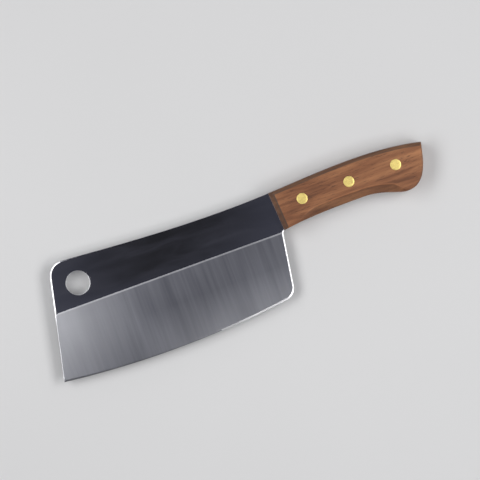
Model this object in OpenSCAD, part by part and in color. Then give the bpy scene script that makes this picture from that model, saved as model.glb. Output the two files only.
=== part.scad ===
// Meat cleaver: a ground steel blade with a full tang, two wooden handle scales
// and three two-piece compression rivets. The cleaver lies on its side: +X runs
// from the toe to the butt of the handle, +Y from the cutting edge to the spine,
// +Z out of the near face. The outline is drawn from the toe end of the grind line
// and then moved, so that the origin is the centre of the box, at the far face.

/* [Blade] */
// Length of the blade along the grind line, toe to handle
blade_l = 186; // [140:1:240]
// Height of the spine above the grind line at the toe
toe_h = 37.3; // [34:0.1:45]
// Height of the spine above the grind line where the handle starts
neck_h = 31.7; // [29:0.1:40]
// Depth of the bevel, grind line to the lowest point of the edge
bevel_h = 56.5; // [44:0.5:75]
// Thickness of the blade and of its tang
blade_t = 3; // [2:0.1:5]
// Thickness behind the cutting edge, before the edge bevel
behind_edge_t = 0.6; // [0.3:0.05:1]
// Width of the flat left on the cutting edge
edge_flat = 0.1; // [0.05:0.01:0.25]
// Angle of the edge bevel on each side, in degrees
edge_angle = 15; // [10:1:25]
// Radius of the belly, the long curve of the cutting edge
belly_r = 750; // [550:10:1500]
// Distance of the lowest point of the belly from the toe
belly_x = 76; // [55:1:95]
// Lean of the toe edge, in degrees
toe_lean = 12.2; // [0:0.1:16]
// Radius of the corner between the toe edge and the spine
toe_r = 12; // [4:0.5:15]
// Lean of the heel edge, in degrees
heel_lean = 8.6; // [0:0.1:14]
// Radius of the corner between the heel edge and the belly
heel_r = 10; // [3:0.5:16]
// Radius of the notch where the heel meets the handle
notch_r = 3; // [1:0.1:4]

/* [Hanging hole] */
// Diameter of the hanging hole
hole_d = 18.4; // [10:0.1:24]
// Distance of the hole's centre from the toe, along the grind line
hole_x = 25; // [22:0.5:40]
// Height of the hole's centre above the grind line
hole_y = 17; // [14:0.5:19]
// Chamfer at both mouths of the hole
hole_chamfer = 0.4; // [0.1:0.05:0.6]

/* [Handle] */
// Length of the handle, from the blade to the butt
handle_l = 123.5; // [105:0.5:160]
// Thickness of the whole handle, both scales and the tang
handle_t = 19; // [15:0.5:26]
// Length of the grip, from the blade to where the palm swell begins
grip_l = 65; // [50:0.5:75]
// Height of the grip's underside above the grind line
grip_lift = 4.2; // [1:0.1:7]
// How far the palm swell drops below the grind line
swell_drop = 3; // [1:0.1:6]
// Distance of the palm swell's lowest point from the butt
swell_back = 21.8; // [18:0.1:28]
// Height of the butt's upper corner above the grind line
butt_h = 29; // [26:0.1:33]
// Offset of the scales' front edge, top to bottom
front_lean = 2.2; // [0:0.1:4]
// Width and depth of the slope at the scales' front
front_slope = 3.7; // [2:0.1:6.5]
// Width and depth of the round-over along the handle's top
top_round = 3.0; // [1:0.1:4]
// Width of the finger relief along the handle's underside
relief_w = 6.4; // [1.5:0.1:8]
// Depth of the finger relief into the handle's thickness
relief_t = 4.2; // [1:0.1:5]
// Round-over at the butt and at the lower front corner
butt_round = 1.2; // [0.5:0.1:2]

/* [Rivets] */
// Distance of the front rivet from the start of the handle
rivet_start = 23; // [16:0.5:28]
// Distance from one rivet to the next
rivet_pitch = 38.1; // [30:0.1:40]
// Height of the rivet line above the grind line
rivet_y = 19; // [15:0.1:22]
// Diameter of a rivet's head
head_d = 8.4; // [7:0.1:11]
// Thickness of a rivet's head
head_t = 1.6; // [1:0.1:2.5]
// Outer diameter of the tubular half's shank
tube_d = 5; // [4.4:0.1:6]
// Diameter of the solid half's shank, pressed into the tube
pin_d = 3.2; // [2.4:0.1:3.8]
// Radial clearance of the shank in its holes and of the head in its seat
rivet_gap = 0.1; // [0.05:0.01:0.2]
// Length left between the end of one half's shank and the other's head
rivet_end_gap = 3; // [2:0.1:4]

/* [Hidden] */
ARC_STEPS = 8;      // segments in a rounded corner
NOTCH_STEPS = 5;    // segments in the notch
GRIP_STEPS = 8;     // segments along the underside of the grip
CURVE_STEPS = 12;   // segments in each curve from the grip to the butt
TOP_STEPS = 14;     // segments along the top of the handle
SPINE_STEPS = 24;   // segments along the spine
BELLY_STEPS = 24;   // segments along the belly
EASE_STEPS = 4;     // segments across a round-over
ROUND = 96;         // segments of a full circle
WHEEL = 1440;       // segments of the belly's full circle
BELLY_SWEEP = 60;   // part of that circle, in degrees, that the edge cutter covers
EPS = 0.01;         // overlap of a cutter past the face it starts from
PAST = 1;           // how far a through cutter runs past each face
CLEAR = 10;         // how far the bevels' cutters run past the blade
GRIND_SPARE = 0.05; // steel left on the belly until the edge bevel trims it
STRAIGHT = 0.35;    // sine of the turn below which two edges of an outline count as one
STEEL = [0.62, 0.63, 0.65];
WOOD = [0.50, 0.31, 0.22];
BRASS = [0.86, 0.75, 0.45];
neck_slope = 0.05;  // slope of the spine where it runs into the handle
spine_end = 19;     // distance from the toe at which the spine's curve ends
spine_pull = 0.3;   // reach of the spine curve's two handles, as a share of the blade
spine_dip = 4.5;    // drop of the handle at its toe end
front_low = 0.8;    // height of the scales' lower front corner above the grind line
grip_step = 1;      // how far the grip curve's first handle stays below the grip
swell_step = 0.8;   // rise of the swell curve's first handle above the grip
swell_pull = 0.2;   // reach of its second handle, as a share of the curve
butt_pull = 0.75;   // reach of the butt curve's first handle, as a share of swell_back
butt_lean = 0.13;   // offset of its second handle, as a share of swell_back
butt_reach = 12.2;  // drop of its second handle below the butt's upper corner
top_pull = 0.32;    // reach of the top curve's handle at the butt, as a share of the handle
top_lift = 9.4;     // rise of that handle above the butt's upper corner
crown_pull = 0.29;  // reach of the top curve's handle at the neck, as a share of the handle
heel_step = [0.4, 0.2]; // how far the heel's top stands before and below the scales' corner
relief_start = 14;  // distance from the blade at which the finger relief starts
relief_run_in = 14; // length over which it deepens
relief_run_out = 10; // length over which it fades, before the palm swell
tube_floor = 1;     // brass left between the tube's bore and its head
scale_t = (handle_t - blade_t) / 2;
butt_x = blade_l + handle_l;
swell_x = butt_x - swell_back;
grip_x = blade_l + grip_l;                  // where the grip turns into the palm swell
rivet_xs = [for (i = [0:2]) blade_l + rivet_start + i * rivet_pitch];
shank_hole_d = tube_d + 2 * rivet_gap;
belly_y = belly_r - bevel_h;                // height of the belly's centre

// ---- Plane geometry -------------------------------------------------------------

// Point at t on the cubic curve with the control points p
function bezier(p, t) = pow(1 - t, 3) * p[0] + 3 * t * pow(1 - t, 2) * p[1]
    + 3 * t * t * (1 - t) * p[2] + pow(t, 3) * p[3];

// Points along a cubic curve, leaving out its last one
function curve(p, steps = CURVE_STEPS) = [for (i = [0:steps - 1]) bezier(p, i / steps)];

function unit(v) = v / norm(v);

// Unit normal of the edge from a to b, pointing into a counter-clockwise outline
function inward(a, b) = unit([a[1] - b[1], b[0] - a[0]]);

// Arc of radius r that rounds the corner at b, between a and c
function corner(a, b, c, r, steps = ARC_STEPS) =
    let (
        u = unit(a - b), v = unit(c - b),
        half = acos(u * v) / 2,
        centre = b + unit(u + v) * r / sin(half),
        from = b + u * r / tan(half) - centre,
        to = b + v * r / tan(half) - centre,
        start = atan2(from[1], from[0]),
        sweep = atan2(from[0] * to[1] - from[1] * to[0], from * to)
    )
    [for (i = [0:steps]) let (a = start + sweep * i / steps) centre + r * [cos(a), sin(a)]];

// Height of the belly at x
function belly(x) = belly_y - sqrt(pow(belly_r + GRIND_SPARE, 2) - pow(x - belly_x, 2));

// Where the line through [x0, 0] that leans by tan(lean) meets the belly
function meets_belly(x0, lean, x, tries = 20) =
    tries == 0 ? [x, belly(x)] : meets_belly(x0, lean, x0 + belly(x) * tan(lean), tries - 1);

// Where the inset edges meet: edge a-b moved in by w_in and edge b-c by w_out
function mitre(a, b, c, w_in, w_out) =
    let (m = inward(a, b), n = inward(b, c), cross = m[0] * n[1] - m[1] * n[0])
    abs(cross) < STRAIGHT
        ? b + unit(m + n) * (w_in + w_out) / 2
        : b + [n[1] * w_in - m[1] * w_out, m[0] * w_out - n[0] * w_in] / cross;

// ---- Outlines -------------------------------------------------------------------

neck = [blade_l, neck_h];
neck_run = unit([1, neck_slope]);                 // direction of the spine at the handle
scale_front = [blade_l + front_lean, front_low];  // lower front corner of the scales
grip_low = [grip_x, grip_lift];
swell = [swell_x, -swell_drop];
butt = [butt_x, butt_h];
grip_reach = (grip_x - scale_front[0]) / 3;
swell_reach = (swell_x - grip_x) / 2;

underside_curve = [scale_front, scale_front + [grip_reach, grip_lift - grip_step],
    grip_low - [grip_reach, 0], grip_low];
swell_curve = [grip_low, grip_low + [swell_reach, swell_step],
    swell - [swell_pull * (swell_x - grip_x), 0], swell];
butt_curve = [swell, swell + [butt_pull * swell_back, 0],
    butt - [butt_lean * swell_back, butt_reach], butt];
top_curve = [butt, butt + [-top_pull * handle_l, top_lift],
    neck + crown_pull * handle_l * neck_run, neck];

toe_top = [toe_h * tan(toe_lean), toe_h];
spine_start = [spine_end, toe_h];
spine_curve = [neck, neck - spine_pull * blade_l * neck_run,
    spine_start + [spine_pull * blade_l, -spine_dip], spine_start];
toe_low = meets_belly(0, toe_lean, 0);
heel_top = scale_front - [front_lean / 2, 0] - heel_step;
heel_low = meets_belly(heel_top[0], heel_lean, blade_l);

// Handle outline, counter-clockwise from its lower front corner to the neck
handle_line = concat(
    curve(underside_curve, GRIP_STEPS),
    curve(swell_curve),
    curve(butt_curve),
    curve(top_curve, TOP_STEPS)
);
// Blade outline, counter-clockwise from the neck to the notch under the handle
notch = corner(heel_low, heel_top, handle_line[1], notch_r, NOTCH_STEPS);
blade_line = concat(
    curve(spine_curve, SPINE_STEPS),
    corner(spine_start, toe_top, toe_low, toe_r),
    [for (i = [0:BELLY_STEPS - 1])
        let (x = toe_low[0] + (heel_low[0] - heel_r - toe_low[0]) * i / BELLY_STEPS) [x, belly(x)]],
    corner([heel_low[0] - heel_r, belly(heel_low[0] - heel_r)], heel_low, heel_top, heel_r),
    notch
);
outline = concat([for (i = [1:len(handle_line) - 1]) handle_line[i]], blade_line);

x_min = min([for (p = outline) p[0]]);
x_max = max([for (p = outline) p[0]]);
y_max = max([for (p = outline) p[1]]);
centre = [(x_min + x_max) / 2, (y_max - bevel_h) / 2];

// ---- Shared solids --------------------------------------------------------------

// Moves a piece from the drawing's origin to the part's origin
module placed() {
    translate([-centre[0], -centre[1], 0]) children();
}

// Triangles that fill an outline from its point i to its point j. Its points run out
// along its lower side and come back along its upper one.
function fill(line, i, j) =
    j - i < 2 ? []
    : line[i + 1][0] < line[j - 1][0]
        ? concat([[i, i + 1, j]], fill(line, i + 1, j))
        : concat([[i, j - 1, j]], fill(line, i, j - 1));

// Closed solid through a stack of rings that all have the same number of points
module loft(rings) {
    n = len(rings[0]);
    top = len(rings) - 1;
    sides = [for (k = [0:top - 1], i = [0:n - 1]) let (j = (i + 1) % n)
        each [[k * n + i, (k + 1) * n + j, k * n + j], [k * n + i, (k + 1) * n + i, (k + 1) * n + j]]];
    upper = [for (t = fill(rings[top], 0, n - 1)) [for (k = [2:-1:0]) top * n + t[k]]];
    polyhedron(
        points = [for (r = rings) each r],
        faces = concat(sides, upper, fill(rings[0], 0, n - 1)),
        convexity = 6
    );
}

// Outline moved in by each point's own width, times f
function inset_line(line, widths, f) = let (n = len(line)) [for (i = [0:n - 1])
    mitre(line[(i + n - 1) % n], line[i], line[(i + 1) % n],
        widths[i][0] * f, widths[i][1] * f)];

function at_height(line, z) = [for (p = line) [p[0], p[1], z]];

// ---- Blade ----------------------------------------------------------------------

// Both long bevels, as a wedge cut from each face below the grind line
module bevel_cutters() {
    slope = (blade_t - behind_edge_t) / 2 / bevel_h;
    low = bevel_h + CLEAR;
    for (side = [-1, 1])
        translate([x_min - CLEAR, 0, blade_t / 2])
            rotate([90, 0, 90])
                linear_extrude(height = blade_l - x_min + 2 * CLEAR)
                    polygon([
                        [CLEAR, side * (blade_t / 2 + CLEAR * slope)],
                        [CLEAR, side * blade_t * 2],
                        [-low, side * blade_t * 2],
                        [-low, side * (blade_t / 2 - low * slope)],
                    ]);
}

// Trims the belly to its radius and grinds the narrow bevel on each side of it
module edge_cutter() {
    rise = 2 * blade_t;
    reach = rise / tan(edge_angle);
    translate([belly_x, belly_y, blade_t / 2])
        rotate([0, 0, 270 - BELLY_SWEEP / 2])
            rotate_extrude(angle = BELLY_SWEEP, $fn = WHEEL)
                polygon([
                    [belly_r, edge_flat / 2],
                    [belly_r, -edge_flat / 2],
                    [belly_r - reach, -edge_flat / 2 - rise],
                    [belly_r + CLEAR, -edge_flat / 2 - rise],
                    [belly_r + CLEAR, edge_flat / 2 + rise],
                    [belly_r - reach, edge_flat / 2 + rise],
                ]);
}

module hanging_hole() {
    translate([hole_x, hole_y, 0]) {
        translate([0, 0, -PAST]) cylinder(h = blade_t + 2 * PAST, d = hole_d, $fn = ROUND);
        for (face = [0, 1])
            translate([0, 0, face * blade_t])
                mirror([0, 0, face])
                    translate([0, 0, -EPS])
                        cylinder(h = hole_chamfer + EPS, d1 = hole_d + 2 * (hole_chamfer + EPS),
                            d2 = hole_d, $fn = ROUND);
    }
}

module blade() {
    color(STEEL)
        placed()
            translate([0, 0, scale_t])
                difference() {
                    linear_extrude(height = blade_t) polygon(outline);
                    bevel_cutters();
                    edge_cutter();
                    hanging_hole();
                    for (x = rivet_xs)
                        translate([x, rivet_y, -PAST])
                            cylinder(h = blade_t + 2 * PAST, d = shank_hole_d, $fn = ROUND);
                }
}

// ---- Handle scales --------------------------------------------------------------

scale_line = concat(handle_line, [neck]);

// Share of the full finger relief at x: none at the front corner, all along the grip,
// none again past the palm swell
function relief(x) =
    let (
        rise = (x - blade_l - relief_start) / relief_run_in,
        fall = (swell_x - x) / relief_run_out
    )
    max(0, min(1, rise, fall));

function under_width(x) = butt_round + (relief_w - butt_round) * relief(x);
function under_depth(x) = butt_round + (relief_t - butt_round) * relief(x);

// Edge widths before and after each point of the scale's outline, and its edge depth
function edge_widths(i) =
    let (
        last = len(scale_line) - 1, x = scale_line[i][0],
        under_end = GRIP_STEPS + CURVE_STEPS, butt_end = under_end + CURVE_STEPS
    )
    i == 0 ? [front_slope, butt_round, butt_round]
    : i < under_end ? [under_width(x), under_width(x), under_depth(x)]
    : i < butt_end ? [butt_round, butt_round, butt_round]
    : i == butt_end ? [butt_round, top_round, top_round]
    : i < last ? [top_round, top_round, top_round]
    : [top_round, front_slope, front_slope];

// A scale with its flat against z = 0 and its outer face at z = scale_t
module scale_body() {
    widths = [for (i = [0:len(scale_line) - 1]) edge_widths(i)];
    loft(concat(
        [at_height(scale_line, 0)],
        [for (k = [0:EASE_STEPS])
            let (a = 90 * k / EASE_STEPS, line = inset_line(scale_line, widths, 1 - cos(a)))
            [for (i = [0:len(line) - 1])
                [line[i][0], line[i][1], scale_t - (1 - sin(a)) * edge_depth(i)]]]
    ));
}

// Depth of the edge treatment, deepest at the two front corners
function edge_depth(i) = i == 0 ? front_slope : edge_widths(i)[2];

// A scale drilled for the rivets, with a seat for each head in its outer face
module drilled_scale() {
    difference() {
        scale_body();
        for (x = rivet_xs)
            translate([x, rivet_y, 0]) {
                translate([0, 0, -PAST])
                    cylinder(h = scale_t + 2 * PAST, d = shank_hole_d, $fn = ROUND);
                translate([0, 0, scale_t - head_t])
                    cylinder(h = head_t + PAST, d = head_d + 2 * rivet_gap, $fn = ROUND);
            }
    }
}

module near_scale() {
    color(WOOD)
        placed() translate([0, 0, scale_t + blade_t]) drilled_scale();
}

module far_scale() {
    color(WOOD)
        placed() translate([0, 0, scale_t]) mirror([0, 0, 1]) drilled_scale();
}

// ---- Rivets ---------------------------------------------------------------------

// Tubular half: its head sits in the far scale, its shank reaches towards the near head
module rivet_tube(i) {
    shank_end = handle_t - head_t - rivet_end_gap;
    color(BRASS)
        placed()
            translate([rivet_xs[i], rivet_y, 0])
                difference() {
                    union() {
                        cylinder(h = head_t, d = head_d, $fn = ROUND);
                        cylinder(h = shank_end, d = tube_d, $fn = ROUND);
                    }
                    translate([0, 0, head_t + tube_floor])
                        cylinder(h = handle_t, d = pin_d, $fn = ROUND);
                }
}

// Solid half: its head sits in the near scale, its shank is pressed into the tube
module rivet_pin(i) {
    shank_start = head_t + rivet_end_gap;
    color(BRASS)
        placed()
            translate([rivet_xs[i], rivet_y, 0]) {
                translate([0, 0, handle_t - head_t]) cylinder(h = head_t, d = head_d, $fn = ROUND);
                translate([0, 0, shank_start])
                    cylinder(h = handle_t - EPS - shank_start, d = pin_d, $fn = ROUND);
            }
}

module front_rivet_tube() { rivet_tube(0); }
module front_rivet_pin() { rivet_pin(0); }
module middle_rivet_tube() { rivet_tube(1); }
module middle_rivet_pin() { rivet_pin(1); }
module rear_rivet_tube() { rivet_tube(2); }
module rear_rivet_pin() { rivet_pin(2); }

blade();
near_scale();
far_scale();
front_rivet_tube();
front_rivet_pin();
middle_rivet_tube();
middle_rivet_pin();
rear_rivet_tube();
rear_rivet_pin();
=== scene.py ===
"""A meat cleaver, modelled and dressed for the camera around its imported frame.

The blade is one ground steel plate with a full tang. Two wooden scales cover the
tang, and three two-piece brass rivets hold them. Sizes are in millimetres in the
drawing, whose origin is the toe end of the grind line, and become metres in the
part's own frame when a mesh is made.
"""

import logging
import math
from dataclasses import dataclass
from enum import Enum
from typing import Callable, Optional, Sequence

import bmesh
import bpy
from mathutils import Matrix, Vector
from mathutils.geometry import delaunay_2d_cdt


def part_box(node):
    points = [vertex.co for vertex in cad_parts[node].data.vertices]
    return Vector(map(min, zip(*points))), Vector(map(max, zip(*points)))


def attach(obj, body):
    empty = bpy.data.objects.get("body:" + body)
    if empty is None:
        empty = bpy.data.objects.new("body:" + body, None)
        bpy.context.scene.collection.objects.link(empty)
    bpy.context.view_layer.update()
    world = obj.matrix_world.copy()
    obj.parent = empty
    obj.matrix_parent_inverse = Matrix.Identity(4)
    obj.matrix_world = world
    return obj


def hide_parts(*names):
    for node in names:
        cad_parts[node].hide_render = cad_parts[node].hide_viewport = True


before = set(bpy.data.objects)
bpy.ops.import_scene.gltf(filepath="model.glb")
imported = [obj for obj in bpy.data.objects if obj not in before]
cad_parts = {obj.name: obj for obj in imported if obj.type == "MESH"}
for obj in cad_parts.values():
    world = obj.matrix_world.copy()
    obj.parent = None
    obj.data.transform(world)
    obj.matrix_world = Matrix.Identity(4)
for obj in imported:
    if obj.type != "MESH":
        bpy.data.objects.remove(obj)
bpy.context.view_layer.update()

logging.basicConfig(level=logging.INFO, format="%(message)s")
LOG = logging.getLogger("cleaver")

MM = 0.001
BODY = "root"
# The point attribute that carries the wood's painted shade and painted highlight.
PAINTED_LIGHT = "painted_light"
UV_LAYER = "UVMap"
UV_SCALE = 10.0
SAME_PLACE = 1e-7
SAME_POINT = 1e-6
INSIDE_ONLY = 1
FULL = (0.0, 1.0)
CORE = (0.3, 0.7)
POLISHED, SATIN, BRIGHT = range(3)
Point = Vector
Outline = list[Point]
Colour = tuple[float, float, float]
Socket = bpy.types.NodeSocket
Material = bpy.types.Material
Value = Socket | Sequence[float] | float | bool | str | Material
Inputs = dict[str | int, Value] | Sequence[tuple[str, Value]]


class Slot(Enum):
    """The material slots that the part's record names."""

    STEEL = "blade_steel"
    WOOD = "handle_wood"
    BRASS = "rivet_brass"


class Side(Enum):
    """The two sides of the tang, by the direction that their outer face looks in."""

    NEAR = 1
    FAR = -1


class Run(Enum):
    """The runs of the steel's outline, which are finished differently."""

    TANG = 0
    SPINE = 1
    TOE = 2
    BELLY = 3
    HEEL = 4


# ---- Plane geometry -------------------------------------------------------------


def unit(vector: Point) -> Point:
    """Returns the vector at length one."""
    return vector.normalized()


def held(*shares: float) -> float:
    """Returns the least of the shares, held from 0 to 1."""
    return max(0.0, min(1.0, *shares))


def curve(handles: Sequence[Point], steps: int) -> Outline:
    """Returns points along a cubic curve, without its last one.

    Args:
        handles: The curve's four control points.
        steps: The number of points.

    Returns:
        The points, in order.
    """
    a, b, c, d = handles
    shares = ((i / steps, 1 - i / steps) for i in range(steps))
    return [
        a * s**3 + b * (3 * t * s**2) + c * (3 * t * t * s) + d * t**3 for t, s in shares
    ]


def corner(before: Point, at: Point, after: Point, radius: float, steps: int) -> Outline:
    """Returns the arc that rounds a corner.

    Args:
        before: A point on the line that comes in.
        at: The corner itself.
        after: A point on the line that goes out.
        radius: The arc's radius.
        steps: The number of segments in the arc.

    Returns:
        The arc's points, its two ends included.
    """
    u, v = unit(before - at), unit(after - at)
    half = math.acos(u.dot(v)) / 2
    centre = at + unit(u + v) * radius / math.sin(half)
    start = at + u * radius / math.tan(half) - centre
    end = at + v * radius / math.tan(half) - centre
    first = math.atan2(start.y, start.x)
    sweep = math.atan2(start.x * end.y - start.y * end.x, start.dot(end))
    turns = [first + sweep * i / steps for i in range(steps + 1)]
    return [centre + Point((math.cos(a), math.sin(a))) * radius for a in turns]


def inward(a: Point, b: Point) -> Point:
    """Returns the unit normal of the edge a-b that points into the outline."""
    return unit(Point((a.y - b.y, b.x - a.x)))


def mitre(a: Point, b: Point, c: Point, width_in: float, width_out: float) -> Point:
    """Returns where a corner lands when both of its edges move in.

    Args:
        a: The point before the corner.
        b: The corner.
        c: The point after it.
        width_in: How far the edge a-b moves.
        width_out: How far the edge b-c moves.

    Returns:
        The moved corner.
    """
    straight = 0.35
    m, n = inward(a, b), inward(b, c)
    cross = m.x * n.y - m.y * n.x
    if abs(cross) < straight:
        return b + unit(m + n) * (width_in + width_out) / 2
    return b + Point((n.y * width_in - m.y * width_out, m.x * width_out - n.x * width_in)) / cross


def circle(centre: Point, radius: float, steps: int) -> Outline:
    """Returns a circle's points, counter-clockwise."""
    turns = [2 * math.pi * i / steps for i in range(steps)]
    return [centre + Point((math.cos(a), math.sin(a))) * radius for a in turns]


# ---- Outlines -------------------------------------------------------------------


@dataclass(frozen=True)
class Outlines:
    """The cleaver's outline in the drawing's plane, in millimetres."""

    blade_l: float = 186.0
    toe_h: float = 37.3
    neck_h: float = 31.7
    bevel_h: float = 56.5
    belly_r: float = 750.0
    belly_x: float = 76.0
    toe_lean: float = 12.2
    toe_r: float = 12.0
    heel_lean: float = 8.6
    heel_r: float = 10.0
    notch_r: float = 3.0
    handle_l: float = 123.5
    grip_l: float = 65.0
    grip_lift: float = 4.2
    swell_drop: float = 3.0
    swell_back: float = 21.8
    butt_h: float = 29.0
    front_lean: float = 2.2
    front_low: float = 0.8
    neck_slope: float = 0.05
    spine_end: float = 19.0
    spine_pull: float = 0.3
    spine_dip: float = 4.5
    grip_step: float = 1.0
    swell_step: float = 0.8
    swell_pull: float = 0.2
    butt_pull: float = 0.75
    butt_lean: float = 0.13
    butt_reach: float = 12.2
    top_pull: float = 0.32
    top_lift: float = 9.4
    crown_pull: float = 0.29
    heel_step: tuple[float, float] = (0.4, 0.2)
    grip_steps: int = 8
    curve_steps: int = 12
    top_steps: int = 14
    edge_steps: int = 24
    heel_steps: int = 16
    arc_steps: int = 8
    notch_steps: int = 5
    tries: int = 20
    fine: int = 2

    @property
    def neck(self) -> Point:
        """The upper corner where the blade meets the handle."""
        return Point((self.blade_l, self.neck_h))

    @property
    def swell_x(self) -> float:
        """Where the palm swell is lowest."""
        return self.blade_l + self.handle_l - self.swell_back

    def handle(self) -> Outline:
        """Returns the handle's outline, from its lower front corner round to the neck."""
        front = Point((self.blade_l + self.front_lean, self.front_low))
        grip = Point((self.blade_l + self.grip_l, self.grip_lift))
        swell = Point((self.swell_x, -self.swell_drop))
        butt = Point((self.blade_l + self.handle_l, self.butt_h))
        run = unit(Point((1, self.neck_slope)))
        reach = Point(((grip.x - front.x) / 3, 0))
        rise = Point((0, self.grip_lift - self.grip_step))
        under = (front, front + reach + rise, grip - reach, grip)
        half = Point(((swell.x - grip.x) / 2, self.swell_step))
        ease = Point((self.swell_pull * (swell.x - grip.x), 0))
        palm = (grip, grip + half, swell - ease, swell)
        end = (
            swell,
            swell + Point((self.butt_pull * self.swell_back, 0)),
            butt - Point((self.butt_lean * self.swell_back, self.butt_reach)),
            butt,
        )
        top = (
            butt,
            butt + Point((-self.top_pull * self.handle_l, self.top_lift)),
            self.neck + run * self.crown_pull * self.handle_l,
            self.neck,
        )
        k = self.fine
        return (
            curve(under, self.grip_steps * k) + curve(palm, self.curve_steps * k)
            + curve(end, self.curve_steps * k) + curve(top, self.top_steps * k) + [self.neck]
        )

    @property
    def under_end(self) -> int:
        """How many of the handle's points its underside has, up to the palm swell."""
        return (self.grip_steps + self.curve_steps) * self.fine

    @property
    def butt_end(self) -> int:
        """The number of the handle's point at the butt's upper corner."""
        return self.under_end + self.curve_steps * self.fine

    def belly(self, x: float) -> float:
        """Returns the height of the cutting edge at x."""
        centre = self.belly_r - self.bevel_h
        return centre - math.sqrt(self.belly_r**2 - (x - self.belly_x) ** 2)

    def meets_belly(self, start: Point, lean: float) -> Point:
        """Returns where a leaning line reaches the cutting edge.

        Args:
            start: A point on the line.
            lean: The line's lean, in degrees.

        Returns:
            The meeting point.
        """
        slope = math.tan(math.radians(lean))
        x = start.x
        for _ in range(self.tries):
            x = start.x + (self.belly(x) - start.y) * slope
        return Point((x, self.belly(x)))

    def blade(self) -> list[tuple[Run, Point]]:
        """Returns the blade's outline, from the neck round the toe to the notch.

        Returns:
            Each point, with the run of the edge that it is on.
        """
        k = self.fine
        run = unit(Point((1, self.neck_slope)))
        toe_top = Point((self.toe_h * math.tan(math.radians(self.toe_lean)), self.toe_h))
        start = Point((self.spine_end, self.toe_h))
        pull = self.spine_pull * self.blade_l
        dip = Point((pull, -self.spine_dip))
        spine = (self.neck, self.neck - run * pull, start + dip, start)
        toe_low = self.meets_belly(Point((0, 0)), self.toe_lean)
        before, below = self.heel_step
        heel_top = Point((self.blade_l + self.front_lean / 2 - before, self.front_low - below))
        heel_low = self.meets_belly(heel_top, self.heel_lean)
        toe = corner(start, toe_top, toe_low, self.toe_r, self.arc_steps * k)
        steps = self.edge_steps * k
        toe_side = [toe[-1].lerp(toe_low, i / steps) for i in range(1, steps)]
        end_x = heel_low.x - self.heel_r
        belly = [toe_low.x + (end_x - toe_low.x) * i / steps for i in range(steps)]
        end = Point((end_x, self.belly(end_x)))
        heel = corner(end, heel_low, heel_top, self.heel_r, self.arc_steps * k)
        notch = corner(heel_low, heel_top, self.handle()[k], self.notch_r, self.notch_steps * k)
        rise = self.heel_steps * k
        heel_side = [heel[-1].lerp(notch[0], i / rise) for i in range(1, rise)]
        runs = (
            (Run.SPINE, curve(spine, steps)),
            (Run.TOE, toe + toe_side),
            (Run.BELLY, [Point((x, self.belly(x))) for x in belly]),
            (Run.HEEL, heel + heel_side + notch),
        )
        return [(name, p) for name, line in runs for p in line]


# ---- Meshes ---------------------------------------------------------------------


def placed(name: str, data: bpy.types.ID) -> bpy.types.Object:
    """Returns a new object in the scene, made of the data given."""
    made = bpy.data.objects.new(name, data)
    bpy.context.scene.collection.objects.link(made)
    return made


@dataclass(frozen=True)
class Rim:
    """How an edge is eased at one point, in millimetres."""

    width: float
    depth: float
    facet: float = 0.0
    width_in: Optional[float] = None

    def share(self, step: float) -> tuple[float, float, float]:
        """Returns how far in and how far down the surface is at a step across the edge.

        Args:
            step: 0 at the outline, 1 where the edge meets the face.

        Returns:
            The width moved in on the edge before and after, and the depth still to climb.
        """
        angle = min(step, 1) * math.pi / 2
        across = self.facet * step + (1 - self.facet) * (1 - math.cos(angle))
        across = max(across, step) if step > 1 else across
        down = self.facet * max(0, 1 - step) + (1 - self.facet) * (1 - math.sin(angle))
        before = self.width if self.width_in is None else self.width_in
        return before * across, self.width * across, self.depth * down

    def towards(self, other: "Rim", share: float) -> "Rim":
        """Returns a rim part of the way to another; the share is held from 0 to 1."""
        share = held(share)
        return Rim(
            self.width + (other.width - self.width) * share,
            self.depth + (other.depth - self.depth) * share,
            self.facet + (other.facet - self.facet) * share,
        )


def inset(line: Outline, widths: Sequence[tuple[float, float]]) -> Outline:
    """Returns an outline with the edges at each point moved in by its two widths."""
    n = len(line)
    return [mitre(line[i - 1], line[i], line[(i + 1) % n], *widths[i]) for i in range(n)]


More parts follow.
